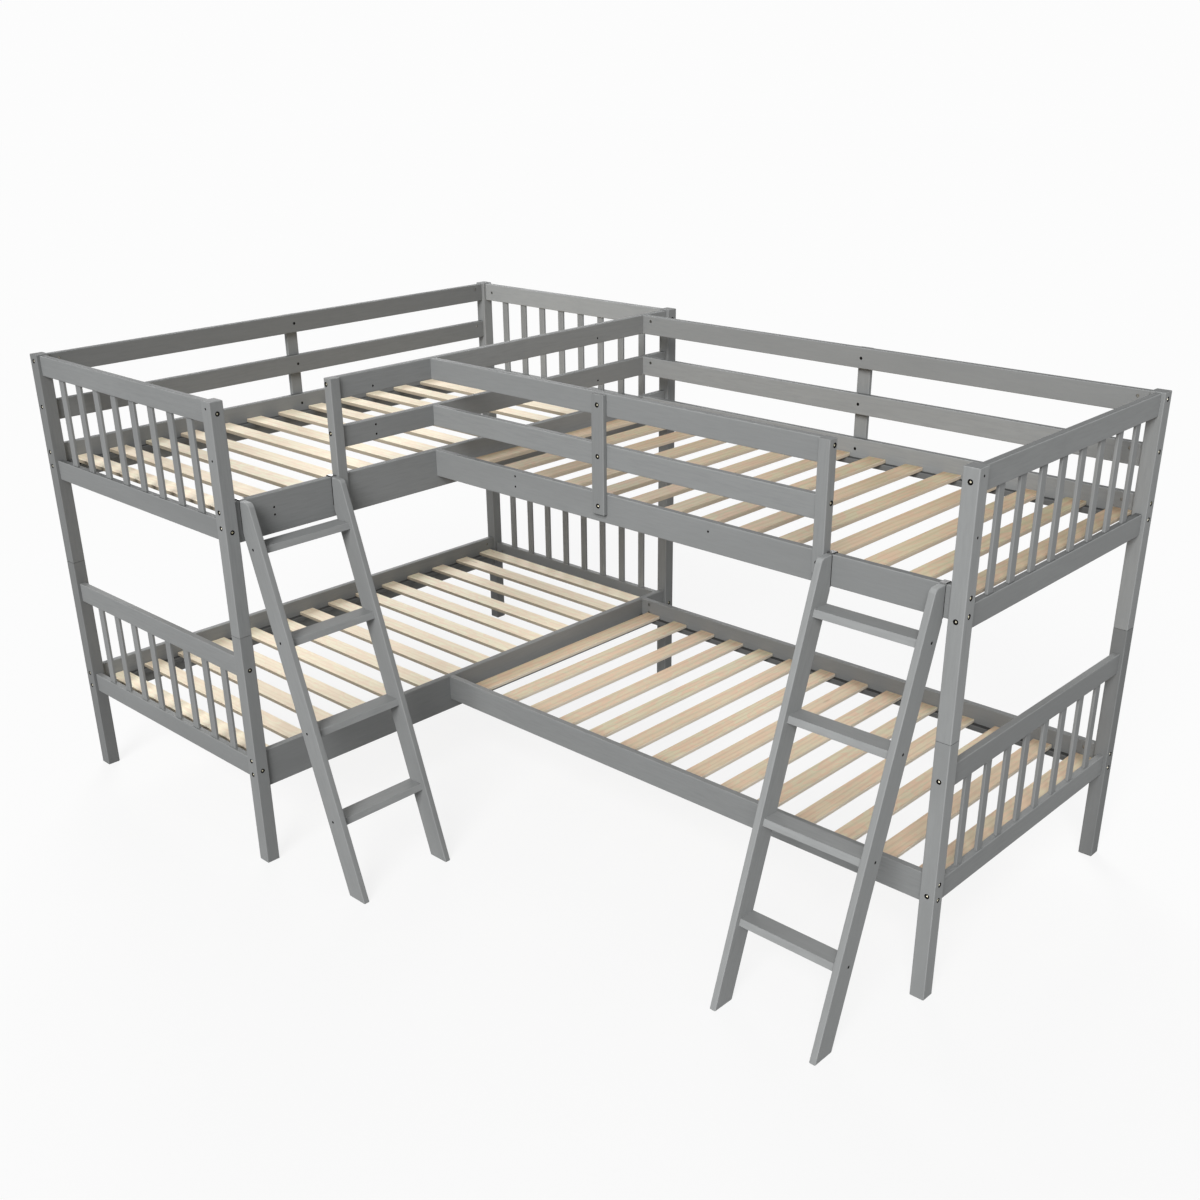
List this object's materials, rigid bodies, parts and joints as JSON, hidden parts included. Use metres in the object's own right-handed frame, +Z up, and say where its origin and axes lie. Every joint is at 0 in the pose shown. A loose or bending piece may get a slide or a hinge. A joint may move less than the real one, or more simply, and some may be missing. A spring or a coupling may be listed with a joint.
{
  "type": "bunk bed",
  "caption": "L-shaped wooden bunk bed with spindle end panels, slatted upper and lower decks, guard rails, gates and hook-on ladders.",
  "frame": {"origin": "centre of the bounding box, at floor level", "axes": "+Z up; +X from the left bunk along the right bunk's length; +Y from the front of the left bunk to its back"},
  "size_m": [3.0244, 2.019, 1.51],
  "materials": {
    "grey_paint": "satin mid-grey paint over planed wood",
    "pine": "bare planed pine",
    "fastener_steel": "dark zinc plating",
    "hook_steel": "bright zinc plating"
  },
  "bodies": {
    "bed_frame": {"front_left_post_lower": "grey_paint", "front_left_post_upper": "grey_paint", "front_inner_post_lower": "grey_paint", "front_inner_post_upper": "grey_paint", "back_left_post_lower": "grey_paint", "back_left_post_upper": "grey_paint", "back_inner_post_lower": "grey_paint", "back_inner_post_upper": "grey_paint", "end_front_post_lower": "grey_paint", "end_front_post_upper": "grey_paint", "end_back_post_lower": "grey_paint", "end_back_post_upper": "grey_paint", "front_panel_lower_rails": "grey_paint", "front_panel_upper_rails": "grey_paint", "back_panel_lower_rails": "grey_paint", "back_panel_upper_rails": "grey_paint", "end_panel_lower_rails": "grey_paint", "end_panel_upper_rails": "grey_paint", "front_panel_lower_spindles": "grey_paint", "front_panel_upper_spindles": "grey_paint", "back_panel_lower_spindles": "grey_paint", "back_panel_upper_spindles": "grey_paint", "end_panel_lower_spindles": "grey_paint", "end_panel_upper_spindles": "grey_paint", "left_outer_bed_rail_lower": "grey_paint", "left_outer_bed_rail_upper": "grey_paint", "left_inner_bed_rail_lower": "grey_paint", "left_inner_bed_rail_upper": "grey_paint", "right_front_bed_rail_lower": "grey_paint", "right_front_bed_rail_upper": "grey_paint", "right_back_bed_rail_lower": "grey_paint", "right_back_bed_rail_upper": "grey_paint", "left_outer_guard_rails": "grey_paint", "left_inner_guard_rails": "grey_paint", "right_front_guard_rails": "grey_paint", "right_back_guard_rails": "grey_paint", "guard_middle_stiles": "grey_paint", "guard_end_stiles": "grey_paint", "left_ledgers_lower": "grey_paint", "left_ledgers_upper": "grey_paint", "right_ledgers_lower": "grey_paint", "right_ledgers_upper": "grey_paint", "left_slats_lower": "pine", "left_slats_upper": "pine", "right_slats_lower": "pine", "right_slats_upper": "pine", "frame_bolts": "fastener_steel", "barrel_nuts": "fastener_steel", "stile_bolts": "fastener_steel", "post_pins": "fastener_steel"},
    "left_ladder": {"left_ladder_front_stringer": "grey_paint", "left_ladder_back_stringer": "grey_paint", "left_ladder_rungs": "grey_paint", "left_ladder_hooks": "hook_steel", "left_ladder_screws": "fastener_steel"},
    "right_ladder": {"right_ladder_left_stringer": "grey_paint", "right_ladder_right_stringer": "grey_paint", "right_ladder_rungs": "grey_paint", "right_ladder_hooks": "hook_steel", "right_ladder_screws": "fastener_steel"}
  },
  "joints": [
    {"name": "left_ladder_lift", "type": "slide", "parent": "bed_frame", "child": "left_ladder", "axis": [0, 0, 1], "range_m": [0, 0.12]},
    {"name": "right_ladder_lift", "type": "slide", "parent": "bed_frame", "child": "right_ladder", "axis": [0, 0, 1], "range_m": [0, 0.12]}
  ]
}
